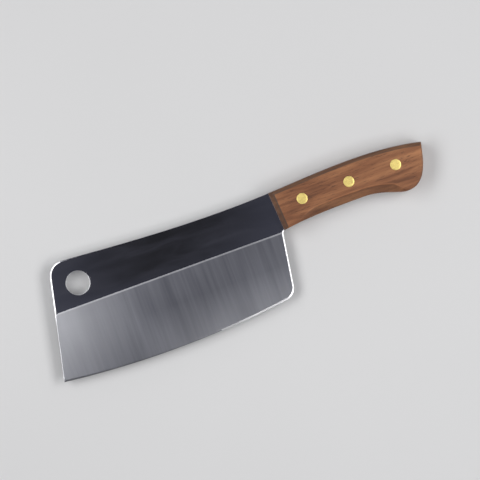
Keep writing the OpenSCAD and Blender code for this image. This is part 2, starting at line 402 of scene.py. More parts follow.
class Shell:
    """Collects points and faces in the drawing's frame and makes them one closed mesh."""

    def __init__(self, origin: Vector) -> None:
        """Starts an empty shell.

        Args:
            origin: The drawing's origin in the part's frame, in metres.
        """
        self.origin = origin
        self.points: list[Vector] = []
        self.faces: list[tuple[int, ...]] = []
        self.kinds: list[int] = []
        self.flat: set[int] = set()
        self.painted_light_values: dict[int, float] = {}

    def ring(
        self, line: Outline, heights: Sequence[float], painted_light_values: Sequence[float] = ()
    ) -> list[int]:
        """Adds one ring of points, with painted light where values are given, and returns their
        numbers.
        """
        first = len(self.points)
        self.painted_light_values.update((first + i, painted_light) for i, painted_light in enumerate(painted_light_values))
        self.points += [Vector((p.x, p.y, z)) for p, z in zip(line, heights)]
        return list(range(first, first + len(line)))

    def band(self, low: list[int], high: list[int], kind: int, skip: Sequence[int] = ()) -> None:
        """Joins two rings of the same length with quads."""
        n = len(low)
        for i in range(n):
            if i in skip:
                continue
            j = (i + 1) % n
            self.faces.append((low[i], low[j], high[j], high[i]))
            self.kinds.append(kind)

    def cap(
        self,
        rings: Sequence[list[int]],
        height: Callable[[float, float], float],
        kind: Callable[[float, float], int],
        crease: Sequence[Point] = (),
    ) -> None:
        """Fills the face between an outer ring and the rings of its holes.

        Args:
            rings: The outer ring first, then each hole's.
            height: The height of a point that the crease adds inside the face.
            kind: The material number of a triangle, from its middle.
            crease: The points of a crease that runs across the face.
        """
        at = [n for ring in rings for n in ring]
        flat = [self.points[n].xy for n in at]
        edges, start = [], 0
        for ring in rings:
            n = len(ring)
            edges += [(start + i, start + (i + 1) % n) for i in range(n)]
            start += n
        edges += [(start + i, start + i + 1) for i in range(len(crease) - 1)]
        flat += list(crease)
        made, _, faces, origin, _, _ = delaunay_2d_cdt(flat, edges, [], INSIDE_ONLY, SAME_POINT)
        number: dict[int, int] = {}
        for i, place in enumerate(made):
            known = [o for o in origin[i] if o < len(at)]
            if known:
                number[i] = at[known[0]]
            else:
                number[i] = len(self.points)
                self.points.append(Vector((place.x, place.y, height(place.x, place.y))))
        holes = [[self.points[n] for n in ring] for ring in rings[1:]]
        for face in faces:
            middle = sum((made[i] for i in face), Vector((0, 0))) / len(face)
            if any(self.within(middle, hole) for hole in holes):
                continue
            self.faces.append(tuple(number[i] for i in face))
            self.kinds.append(kind(middle.x, middle.y))
            self.flat.add(len(self.faces) - 1)

    @staticmethod
    def within(place: Vector, hole: Sequence[Vector]) -> bool:
        """Returns whether a place is inside a round hole."""
        centre = sum((p.xy for p in hole), Vector((0, 0))) / len(hole)
        return (place - centre).length < (hole[0].xy - centre).length

    def object(self, name: str, materials: Sequence[Material], sharp: float) -> bpy.types.Object:
        """Makes the shell a mesh object in the part's frame.

        Args:
            name: The piece's name.
            materials: Its materials, by number.
            sharp: The angle in degrees past which an edge stays crisp.

        Returns:
            The object.
        """
        mesh = bpy.data.meshes.new(name)
        corners = [self.origin + p * MM for p in self.points]
        mesh.from_pydata(corners, [], self.faces)
        for material in materials:
            mesh.materials.append(material)
        mesh.polygons.foreach_set("material_index", self.kinds)
        work = bmesh.new()
        work.from_mesh(mesh)
        work.faces.ensure_lookup_table()
        tag = work.faces.layers.int.new("flat")
        for number in self.flat:
            work.faces[number][tag] = 1
        # Stores the painted shade and painted highlight of the points in a point attribute.
        if self.painted_light_values:
            work.verts.ensure_lookup_table()
            painted_light_layer = work.verts.layers.float.new(PAINTED_LIGHT)
            for number, painted_light in self.painted_light_values.items():
                work.verts[number][painted_light_layer] = painted_light
        bmesh.ops.remove_doubles(work, verts=work.verts, dist=SAME_PLACE)
        loose = [v for v in work.verts if not v.link_faces]
        bmesh.ops.delete(work, geom=loose, context="VERTS")
        bmesh.ops.recalc_face_normals(work, faces=work.faces)
        layer = work.loops.layers.uv.new(UV_LAYER)
        for face in work.faces:
            for loop in face.loops:
                loop[layer].uv = loop.vert.co.xy * UV_SCALE
        open_edges = sum(1 for e in work.edges if len(e.link_faces) != 2)
        for face in work.faces:
            face.smooth = face[tag] == 0
        work.to_mesh(mesh)
        work.free()
        mesh.set_sharp_from_angle(angle=math.radians(sharp))
        piece = placed(name, mesh)
        LOG.info("%s: %d faces, %d open edges", name, len(mesh.polygons), open_edges)
        return piece


# ---- Finishes -------------------------------------------------------------------


def times(colour: Colour, share: float) -> Colour:
    """Returns a colour made darker or paler."""
    return tuple(share * c for c in colour)


class Graph:
    """A node tree, built node by node."""

    def __init__(self, tree: bpy.types.NodeTree) -> None:
        """Takes a tree and empties it."""
        self.tree = tree
        self.tree.nodes.clear()

    def add(self, kind: str, inputs: Inputs = (), **settings: object) -> bpy.types.Node:
        """Adds a node.

        Args:
            kind: The node's type.
            inputs: What each input is set or linked to, by its name or number.
            **settings: The node's own settings.

        Returns:
            The node.
        """
        node = self.tree.nodes.new(kind)
        for key, value in settings.items():
            setattr(node, key, value)
        for key, value in dict(inputs).items():
            if isinstance(value, Socket):
                self.tree.links.new(value, node.inputs[key])
            else:
                node.inputs[key].default_value = value
        return node

    def maths(self, kind: str, a: Value, b: Value = 0.0) -> Socket:
        """Returns a maths node's result."""
        return self.add("ShaderNodeMath", {0: a, 1: b}, operation=kind).outputs[0]

    def ramp(self, factor: Socket, stops: Sequence[tuple[float, Colour]]) -> Socket:
        """Returns a colour ramp of a factor."""
        node = self.add("ShaderNodeValToRGB", {"Fac": factor})
        elements = node.color_ramp.elements
        while len(elements) < len(stops):
            elements.new(0.5)
        for element, (place, colour) in zip(elements, stops):
            element.position = place
            element.color = (*colour, 1.0)
        return node.outputs["Color"]


class Shader(Graph):
    """One node material, built on the object's own coordinates."""

    def __init__(self, name: str) -> None:
        """Starts a material with nothing in it."""
        self.material = bpy.data.materials.new(name)
        self.material.use_nodes = True
        super().__init__(self.material.node_tree)
        self.place = self.add("ShaderNodeTexCoord").outputs["Object"]

    def noise(
        self, scale: Sequence[float], turn: float = 0.0, detail: float = 2.0, wander: float = 0.0
    ) -> Socket:
        """Returns noise, stretched along the object's axes.

        Args:
            scale: The waves per metre along X, Y and Z.
            turn: The turn of the axes about Z before they are scaled, in degrees.
            detail: The number of finer octaves.
            wander: How far the noise distorts itself.

        Returns:
            The noise, from 0 to 1.
        """
        stretched = self.add("ShaderNodeMapping", {
            "Vector": self.place,
            "Rotation": (0.0, 0.0, math.radians(turn)),
            "Scale": tuple(scale),
        })
        return self.add("ShaderNodeTexNoise", {
            "Vector": stretched.outputs["Vector"],
            "Scale": 1.0,
            "Detail": detail,
            "Distortion": wander,
        }).outputs["Fac"]

    def span(self, value: Socket, source: Sequence[float], target: Sequence[float]) -> Socket:
        """Returns a value mapped from one range to another, held at its ends."""
        names = ("Value", "From Min", "From Max", "To Min", "To Max")
        node = self.add("ShaderNodeMapRange", zip(names, (value, *source, *target)))
        return node.outputs["Result"]

    def weighed(self, a: Socket, b: Socket, share: float) -> Socket:
        """Returns the sum of two values, by the share that the first one has in it."""
        parts = (self.maths("MULTIPLY", *part) for part in ((a, share), (b, 1 - share)))
        return self.maths("ADD", *parts)

    def patch(self, *spans: tuple[Socket, Sequence[float], Sequence[float]]) -> Socket:
        """Returns the product of two spans, one along and one across the object."""
        return self.maths("MULTIPLY", *(self.span(*span) for span in spans))

    def mixed(self, factor: Value, a: Value, b: Value) -> Socket:
        """Returns a mix of two colours."""
        a, b = (c if isinstance(c, Socket) else (*c, 1.0) for c in (a, b))
        return self.add("ShaderNodeMix", {0: factor, 6: a, 7: b}, data_type="RGBA").outputs[2]

    def bump(self, height: Socket, depth: float, strength: float) -> Socket:
        """Returns a normal bumped by a height, with its depth in metres."""
        return self.add("ShaderNodeBump", {
            "Height": height, "Distance": depth, "Strength": strength,
        }).outputs["Normal"]

    def axes(self) -> Sequence[Socket]:
        """Returns the object's X, Y and Z coordinates."""
        return self.add("ShaderNodeSeparateXYZ", {"Vector": self.place}).outputs

    def surface(self, **values: Value) -> Material:
        """Ends the material in one surface shader.

        Args:
            **values: The shader's inputs, with _ for each space in a name.

        Returns:
            The material.
        """
        inputs = {name.replace("_", " "): value for name, value in values.items()}
        shader = self.add("ShaderNodeBsdfPrincipled", inputs)
        self.add("ShaderNodeOutputMaterial", {"Surface": shader.outputs["BSDF"]})
        return self.material


@dataclass(frozen=True)
class PolishedSteel:
    """Mirror-polished steel with the faintest wipe marks."""

    base: Colour = (0.60, 0.61, 0.65)
    wiped: float = 0.93
    wipe_scale: Colour = (22.0, 90.0, 90.0)
    wipe_span: tuple[float, float] = (0.35, 0.7)
    hair_scale: Colour = (60.0, 2600.0, 60.0)
    hair_depth: float = 2e-6
    rough: tuple[float, float] = (0.07, 0.13)

    def material(self) -> Material:
        """Returns the material."""
        shader = Shader("polished_steel")
        wipes = shader.noise(self.wipe_scale, turn=12.0, detail=6.0, wander=0.6)
        hairs = shader.noise(self.hair_scale, turn=-3.0)
        dark = times(self.base, self.wiped)
        return shader.surface(
            Base_Color=shader.mixed(shader.span(wipes, self.wipe_span, FULL), self.base, dark),
            Metallic=1.0,
            Roughness=shader.span(wipes, self.wipe_span, self.rough),
            Normal=shader.bump(hairs, self.hair_depth, strength=0.3),
        )


@dataclass(frozen=True)
class SatinSteel:
    """Steel ground across the bevel, with parallel marks from edge to grind line.

    The bevel is painted paler at the toe and along the cutting edge, a painted highlight for the
    lamps' reflection there.
    """

    grind_y: float
    light: Colour = (0.215, 0.220, 0.245)
    dark: Colour = (0.125, 0.128, 0.150)
    # keen: the pale colour of the painted highlight at the toe and along the cutting edge.
    keen: Colour = (0.57, 0.575, 0.605)
    line: Colour = (0.70, 0.70, 0.72)
    fine_scale: Colour = (420.0, 14.0, 14.0)
    broad_scale: Colour = (130.0, 9.0, 9.0)
    fine_share: float = 0.45
    cloud_scale: Colour = (26.0, 22.0, 22.0)
    toe_x: tuple[float, float] = (-0.158, -0.085)
    toe_below: tuple[float, float] = (0.056, 0.012)
    toe_highlight_share: float = 0.8
    toe_highlight_fade: tuple[float, float] = (0.35, 1.0)
    edge_x: tuple[float, float] = (-0.11, -0.04)
    edge_below: tuple[float, float] = (0.024, 0.056)
    edge_highlight_share: float = 0.38
    line_below: tuple[float, float] = (0.0014, 0.0009)
    line_share: float = 0.5
    rough: tuple[float, float] = (0.285, 0.325)
    spread: float = 0.8

    def below(self, distances: Sequence[float]) -> list[float]:
        """Returns the heights at distances below the grind line."""
        return [self.grind_y - distance for distance in distances]

    def material(self) -> Material:
        """Returns the material."""
        shader = Shader("satin_steel")
        fine = shader.noise(self.fine_scale)
        broad = shader.noise(self.broad_scale, turn=2.0, detail=3.0, wander=0.2)
        cloud = shader.noise(self.cloud_scale, detail=3.0)
        marks = shader.weighed(fine, broad, self.fine_share)
        x, y, _ = shader.axes()
        # The toe and edge masks paint a highlight: they mix the bevel towards keen.
        toe = shader.patch(
            (x, self.toe_x, (self.toe_highlight_share, 0.0)),
            (y, self.below(self.toe_below), self.toe_highlight_fade),
        )
        edge = shader.patch(
            (x, self.edge_x, FULL),
            (y, self.below(self.edge_below), (0.0, self.edge_highlight_share)),
        )
        colour = shader.ramp(marks, [(0.25, self.dark), (0.75, self.light)])
        colour = shader.mixed(shader.maths("MAXIMUM", toe, edge), colour, self.keen)
        strip = shader.span(y, self.below(self.line_below), (0.0, self.line_share))
        tangent = shader.add("ShaderNodeTangent", direction_type="UV_MAP", uv_map=UV_LAYER)
        return shader.surface(
            Base_Color=shader.mixed(strip, colour, self.line),
            Metallic=1.0,
            Roughness=shader.span(cloud, CORE, self.rough),
            Anisotropic=self.spread,
            Tangent=tangent.outputs["Tangent"],
        )


@dataclass(frozen=True)
class BrightEdge:
    """Buffed steel on a narrow eased edge, its colour raised near white as a painted highlight, and
    duller on the toe's lower half.
    """

    # base: near white, paler than steel is, a painted highlight along the eased edges.
    base: Colour = (0.95, 0.95, 0.97)
    dull: Colour = (0.58, 0.58, 0.60)
    marked: float = 0.8
    mark_scale: Colour = (900.0, 900.0, 300.0)
    dull_x: tuple[float, float] = (-0.055, -0.015)
    dull_y: tuple[float, float] = (0.008, 0.0)
    rough: tuple[float, float] = (0.285, 0.34)

    def material(self) -> Material:
        """Returns the material."""
        shader = Shader("bright_edge")
        marks = shader.noise(self.mark_scale)
        x, y, _ = shader.axes()
        toe = shader.patch((x, self.dull_x, FULL[::-1]), (y, self.dull_y, FULL))
        colour = shader.mixed(marks, self.base, times(self.base, self.marked))
        return shader.surface(
            Base_Color=shader.mixed(toe, colour, self.dull),
            Metallic=1.0,
            Roughness=shader.span(marks, CORE, self.rough),
        )


@dataclass(frozen=True)
class OiledWood:
    """Red-brown hardwood, its grain along the handle, with painted shade and a painted highlight
    where the piece says so.
    """

    pale: Colour = (0.37, 0.165, 0.076)
    middle: Colour = (0.225, 0.090, 0.042)
    dark: Colour = (0.095, 0.040, 0.022)
    pore: Colour = (0.030, 0.016, 0.012)
    # painted_shade: the dark grey-brown of the painted shade on the scales' shaped edges.
    painted_shade: Colour = (0.068, 0.048, 0.037)
    bend_scale: Colour = (11.0, 14.0, 30.0)
    grain_scale: Colour = (26.0, 330.0, 260.0)
    broad_scale: Colour = (14.0, 95.0, 110.0)
    pore_scale: Colour = (170.0, 2300.0, 1500.0)
    bend_share: float = 0.35
    pore_span: tuple[float, float] = (0.60, 0.72)
    pore_share: float = 0.75
    painted_shade_share: float = 0.85
    painted_highlight_share: float = 0.5
    palest: float = 1.25
    painted_highlight: float = 1.6
    grain_height: float = 0.4
    relief: float = 8e-5
    rough: tuple[float, float] = (0.52, 0.40)
    shine: float = 0.28

    def material(self) -> Material:
        """Returns the material."""
        shader = Shader("oiled_wood")
        bend = shader.noise(self.bend_scale, detail=1.0)
        grain = shader.noise(self.grain_scale, turn=5.0, detail=5.0, wander=0.5)
        broad = shader.noise(self.broad_scale, turn=7.0, detail=3.0, wander=0.8)
        pores = shader.noise(self.pore_scale, turn=5.0)
        bent = shader.maths("MULTIPLY", shader.maths("SUBTRACT", bend, 0.5), self.bend_share)
        tone = shader.maths("ADD", shader.weighed(grain, broad, 0.5), bent)
        colour = shader.ramp(tone, [
            (0.30, self.dark),
            (0.45, self.middle),
            (0.62, self.pale),
            (0.78, times(self.pale, self.palest)),
        ])
        holes = shader.span(pores, self.pore_span, (0.0, self.pore_share))
        colour = shader.mixed(holes, colour, self.pore)
        # The point attribute paints shade towards the dark grey-brown, and below zero a highlight
        # towards the pale wood.
        painted_light = shader.add("ShaderNodeAttribute", attribute_name=PAINTED_LIGHT).outputs["Fac"]
        shaded = shader.span(painted_light, FULL, (0.0, self.painted_shade_share))
        colour = shader.mixed(shaded, colour, self.painted_shade)
        painted_highlight = shader.span(painted_light, (-1.0, 0.0), (self.painted_highlight_share, 0.0))
        colour = shader.mixed(painted_highlight, colour, times(self.pale, self.painted_highlight))
        height = shader.maths("MULTIPLY", grain, self.grain_height)
        height = shader.maths("SUBTRACT", height, holes)
        return shader.surface(
            Base_Color=colour,
            Roughness=shader.span(tone, CORE, self.rough),
            Normal=shader.bump(height, self.relief, strength=0.6),
            Specular_IOR_Level=self.shine,
        )


@dataclass(frozen=True)
class BrushedBrass:
    """Brass ground flush with the wood, with fine crossing scratches."""

    base: Colour = (1.0, 0.82, 0.29)
    deep: Colour = (0.78, 0.59, 0.20)
    along_scale: Colour = (300.0, 4200.0, 300.0)
    across_scale: Colour = (3100.0, 420.0, 300.0)
    along_share: float = 0.65
    mark_span: tuple[float, float] = (0.35, 0.65)
    scratch: float = 2e-5
    rough: tuple[float, float] = (0.42, 0.55)

    def material(self) -> Material:
        """Returns the material."""
        shader = Shader("brushed_brass")
        along = shader.noise(self.along_scale, turn=-16.0)
        across = shader.noise(self.across_scale, turn=24.0)
        marks = shader.weighed(along, across, self.along_share)
        return shader.surface(
            Base_Color=shader.ramp(marks, [(0.36, self.deep), (0.60, self.base)]),
            Metallic=1.0,
            Roughness=shader.span(marks, self.mark_span, self.rough),
            Normal=shader.bump(marks, self.scratch, strength=0.5),
        )


@dataclass(frozen=True)
class PaleSweep:
    """A plain pale grey sheet for the object to lie on."""

    base: float = 0.72
    uneven: float = 0.015
    cloud_scale: Colour = (3.0, 3.0, 3.0)
    rough: float = 0.9

    def material(self) -> Material:
        """Returns the material."""
        shader = Shader("pale_sweep")
        ends = (self.base * (1 - self.uneven), self.base * (1 + self.uneven))
        shade = shader.span(shader.noise(self.cloud_scale), CORE, ends)
        return shader.surface(Base_Color=shade, Roughness=self.rough)


# ---- The cleaver ----------------------------------------------------------------


@dataclass(frozen=True)
class Rivets:
    """The three two-piece rivets, and the holes that they sit in."""

    first: tuple[float, float] = (209.0, 19.0)
    pitch: float = 38.1
    count: int = 3
    head_d: float = 8.4
    head_t: float = 1.6
    rim_break: float = 0.16
    shank_d: float = 5.0
    pin_d: float = 3.2
    end_gap: float = 3.0
    seat_d: float = 8.6
    hole_d: float = 5.2

    def centres(self) -> list[Point]:
        """Returns the rivets' places in the drawing, front to rear."""
        x, y = self.first
        return [Point((x + i * self.pitch, y)) for i in range(self.count)]


@dataclass
class Blade:
    """The ground steel plate: a polished band, a wide satin bevel and a full tang."""

    plan: Outlines
    rivets: Rivets
    origin: Vector
    middle_z: float = 9.5
    thickness: float = 3.0
    behind_edge: float = 0.6
    edge_flat: float = 0.1
    edge_angle: float = 15.0
    hole: tuple[float, float] = (25.0, 17.0)
    hole_d: float = 18.4
    buffed_l: float = 70.0
    bright_depth: float = 0.3
    eased: Rim = Rim(1.15, 0.38)
    crisp: Rim = Rim(0.3, 0.12)
    hole_rim: Rim = Rim(0.25, 0.32)
    tang_rim: Rim = Rim(0.15, 0.06)
    toe_rim_w: float = 0.55
    toe_most: float = 0.7
    heel_most: float = 0.8
    crisp_x: float = 19.0
    crisp_run: float = 9.0
    toe_y: float = 1.0
    toe_run: float = 3.5
    heel_run: float = 7.0
    taper_past: float = 10.0
    satin_past: float = 6.0
    toe_before: float = 60.0
    heel_between: tuple[float, float] = (150.0, 192.0)
    heel_y: float = -0.1
    crease_in: float = 2.0
    hole_steps: int = 96
    shank_steps: int = 32
    steps: tuple[float, ...] = (0.0, 0.2, 0.42, 0.68, 1.0, 1.12)
    sharp: float = 20.0

    def half(self, x: float, y: float) -> float:
        """Returns half the plate's thickness at a place, before its edges are eased."""
        full = self.thickness / 2
        if y >= 0 or x > self.plan.blade_l + self.taper_past:
            return full
        return full + y / self.plan.bevel_h * (full - self.behind_edge / 2)

    def rim(self, run: Run, place: Point) -> Rim:
        """Returns how the edge is eased at a point of the outline."""
        width, depth = self.eased.width, self.eased.depth
        half = self.half(place.x, place.y)
        if run is Run.TANG:
            return self.tang_rim
        if run is Run.SPINE:
            return self.eased.towards(self.crisp, (place.x - self.crisp_x) / self.crisp_run)
        if run is Run.TOE:
            low = Rim(self.toe_rim_w, min(depth, self.toe_most * half))
            return self.eased.towards(low, (self.toe_y - place.y) / self.toe_run)
        bevel = half - self.edge_flat / 2
        keen = Rim(bevel / math.tan(math.radians(self.edge_angle)), bevel, 1.0)
        if run is Run.BELLY:
            return keen
        low_y = -self.plan.bevel_h + self.heel_run
        high = Rim(width, min(depth, self.heel_most * half))
        return keen.towards(high, (place.y - low_y) / self.heel_run)

    def edge_kind(self, place: Point, rim: Rim) -> int:
        """Returns which finish an eased edge has at a point."""
        if rim.facet > 0.5:
            return BRIGHT if place.x > self.plan.blade_l - self.buffed_l else SATIN
        return BRIGHT if rim.depth > self.bright_depth else POLISHED

    def face_kind(self, x: float, y: float) -> int:
        """Returns which finish a face has at a place."""
        return SATIN if y < 0 and x < self.plan.blade_l + self.satin_past else POLISHED

    def crease(self, points: Sequence[Vector]) -> Outline:
        """Returns the grind line's points, between the face's points nearest its two ends."""
        first, last = self.heel_between
        toe = min((p for p in points if p.x < self.toe_before), key=lambda p: abs(p.y))
        heel = min(
            (p for p in points if first < p.x < last), key=lambda p: abs(p.y - self.heel_y)
        )
        return [
            toe.xy, Point((toe.x + self.crease_in, 0.0)),
            Point((heel.x - self.crease_in, 0.0)), heel.xy,
        ]

    def face(
        self, shell: Shell, side: Side, outline: Outline, rims: Sequence[Rim]
    ) -> dict[str, list[int]]:
        """Adds one face of the plate with its eased edges.

        Args:
            shell: The shell that takes the points and faces.
            side: Which face it is.
            outline: The plate's outline.
            rims: The outline's rims, point by point.

        Returns:
            The rings that the walls join, by name.
        """

        def level(x: float, y: float) -> float:
            """Returns the height of this face at a place."""
            return self.middle_z + side.value * self.half(x, y)

        def eased(line: Outline, ring_rims: Sequence[Rim]) -> list[list[int]]:
            """Adds the rings across one eased edge and returns them, outermost first."""
            rings = []
            for step in self.steps:
                shares = [rim.share(step) for rim in ring_rims]
                moved = inset(line, [share[:2] for share in shares])
                heights = [level(p.x, p.y) - side.value * s[2] for p, s in zip(moved, shares)]
                rings.append(shell.ring(moved, heights))
            edge_kinds = [self.edge_kind(p, rim) for p, rim in zip(line, ring_rims)]
            face_kinds = [self.face_kind(p.x, p.y) for p in line]
            for k, (low, high) in enumerate(zip(rings, rings[1:])):
                kinds = face_kinds if k == len(rings) - 2 else edge_kinds
                for kind in set(kinds):
                    others = [i for i, other in enumerate(kinds) if other != kind]
                    shell.band(low, high, kind, others)
            return rings

        outer = eased(outline, rims)
        mouth = circle(Point(self.hole), self.hole_d / 2, self.hole_steps)[::-1]
        inner = eased(mouth, [self.hole_rim] * len(mouth))
        tang = []
        for centre in self.rivets.centres():
            line = circle(centre, self.rivets.hole_d / 2, self.shank_steps)
            tang.append(shell.ring(line, [level(p.x, p.y) for p in line]))
        crease = self.crease([shell.points[n] for n in outer[-1]])
        shell.cap([outer[-1], inner[-1], *tang], level, self.face_kind, crease)
        return {"outer": outer[0], "hole": inner[0], **{f"tang_{i}": r for i, r in enumerate(tang)}}

    def build(self, finishes: Sequence[Material]) -> bpy.types.Object:
        """Builds and dresses the blade.

        Args:
            finishes: The polished, satin and bright materials.

        Returns:
            The finished piece.
        """
        shell = Shell(self.origin)
        tang = [(Run.TANG, p) for p in self.plan.handle()[self.plan.fine:-1]]
        line = tang + self.plan.blade()
        outline = [p for _, p in line]
        rims = [self.rim(run, p) for run, p in line]
        near = self.face(shell, Side.NEAR, outline, rims)
        far = self.face(shell, Side.FAR, outline, rims)
        for name in near:
            shell.band(far[name], near[name], BRIGHT if name in ("outer", "hole") else POLISHED)
        piece = shell.object("ground_blade", finishes, self.sharp)
        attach(piece, BODY)
        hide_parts("blade")
        return piece


@dataclass
class HandleScale:
    """One wooden scale, shaped at its edges and drilled for the rivets."""

    plan: Outlines
    rivets: Rivets
    origin: Vector
    side: Side
    thickness: float = 8.0
    base_z: float = 11.0
    front_slope: float = 3.7
    front_facet: float = 0.7
    top_round: float = 3.0
    relief_w: float = 6.4
    relief_t: float = 4.2
    relief_facet: float = 0.75
    relief_start: float = 14.0
    relief_rise: float = 14.0
    relief_fall: float = 10.0
    butt_round: float = 1.2
    # Painted light by outer and inner step: the front slope greyed and darkened as painted sheen
    # and shade, darkest on its inner line; painted shade on the finger relief, the butt and the top
    # round-over; a painted highlight on the relief's inner line.
    front_painted_shade: tuple[float, float] = (0.72, 1.1)
    relief_painted_light: tuple[float, float] = (0.38, -0.7)
    butt_painted_shade: float = 0.25
    top_painted_shade: tuple[float, float] = (0.7, 0.8)
    inner_from: float = 0.8
    round_steps: int = 64
    steps: tuple[float, ...] = (0.0, 0.13, 0.27, 0.42, 0.57, 0.72, 0.86, 1.0, 1.06)
    sharp: float = 24.0

    def relief(self, x: float) -> float:
        """Returns the share of the full finger relief at x."""
        return held(
            (x - self.plan.blade_l - self.relief_start) / self.relief_rise,
            (self.plan.swell_x - x) / self.relief_fall,
        )

    def rims(self, line: Outline) -> list[Rim]:
        """Returns how each point of the scale's outline is shaped."""
        under_end, butt_end = self.plan.under_end, self.plan.butt_end
        slope, top, butt = self.front_slope, self.top_round, self.butt_round
        rims = []
        for i, place in enumerate(line):
            share = self.relief(place.x)
            if i == 0:
                rims.append(Rim(butt, slope, self.front_facet, slope))
            elif i < under_end:
                width = butt + (self.relief_w - butt) * share
                depth = butt + (self.relief_t - butt) * share
                rims.append(Rim(width, depth, self.relief_facet * share))
            elif i < butt_end:
                rims.append(Rim(butt, butt))
            elif i == butt_end:
                rims.append(Rim(top, top, 0.0, butt))
            elif i < len(line) - 1:
                rims.append(Rim(top, top))
            else:
                rims.append(Rim(slope, slope, self.front_facet, top))
        return rims

    def painted_light_values(self, line: Outline, step: float) -> list[float]:
        """Returns the painted light at each point of one ring: shade on the shaped edges, a
        highlight on the relief's inner line.

        Args:
            line: The scale's outline.
            step: The ring's step across the shaped edge.

        Returns:
            The value of each point: 0 is none, 1 full painted shade, and below 0 a painted
                highlight.
        """
        if step > 1:
            return [0.0] * len(line)
        inner, last = step > self.inner_from, step == 1
        painted_light_values = []
        for i, place in enumerate(line):
            if i in (0, len(line) - 1):
                painted_light_values.append(self.front_painted_shade[inner])
            elif i < self.plan.under_end:
                painted_light_values.append(self.relief_painted_light[last] * self.relief(place.x))
            elif i < self.plan.butt_end:
                painted_light_values.append(self.butt_painted_shade)
            else:
                painted_light_values.append(self.top_painted_shade[inner])
        return painted_light_values

    def build(self, finishes: Sequence[Material]) -> bpy.types.Object:
        """Builds and dresses the scale.

        Args:
            finishes: The wood material.

        Returns:
            The finished piece.
        """
        shell = Shell(self.origin)
        base = self.base_z if self.side is Side.NEAR else self.thickness
        facing = self.side.value
        outer_z = base + facing * self.thickness
        floor_z = outer_z - facing * self.rivets.head_t

        line = self.plan.handle()
        rims = self.rims(line)
        rings = [shell.ring(line, [base] * len(line))]
        for step in self.steps:
            shares = [rim.share(step) for rim in rims]
            moved = inset(line, [share[:2] for share in shares])
            heights = [outer_z - facing * share[2] for share in shares]
            rings.append(shell.ring(moved, heights, self.painted_light_values(line, step)))
        for low, high in zip(rings, rings[1:]):
            shell.band(low, high, 0)

        seats, bores = [], []
        for centre in self.rivets.centres():
            seat = circle(centre, self.rivets.seat_d / 2, self.round_steps)
            bore = circle(centre, self.rivets.hole_d / 2, self.round_steps)
            places = ((seat, outer_z), (seat, floor_z), (bore, floor_z), (bore, base))
            wall = [shell.ring(edge, [z] * len(edge)) for edge, z in places]
            for low, high in zip(wall, wall[1:]):
                shell.band(low, high, 0)
            seats.append(wall[0])
            bores.append(wall[-1])
        shell.cap([rings[-1], *seats], lambda x, y: outer_z, lambda x, y: 0)
        shell.cap([rings[0], *bores], lambda x, y: base, lambda x, y: 0)

        name = self.side.name.lower()
        piece = shell.object(f"{name}_wood_scale", finishes, self.sharp)
        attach(piece, BODY)
        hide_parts(f"{name}_scale")
        return piece


class Halves(Enum):
    """The two halves of a compression rivet, by whether the shank is a tube."""

    TUBE = True
    PIN = False


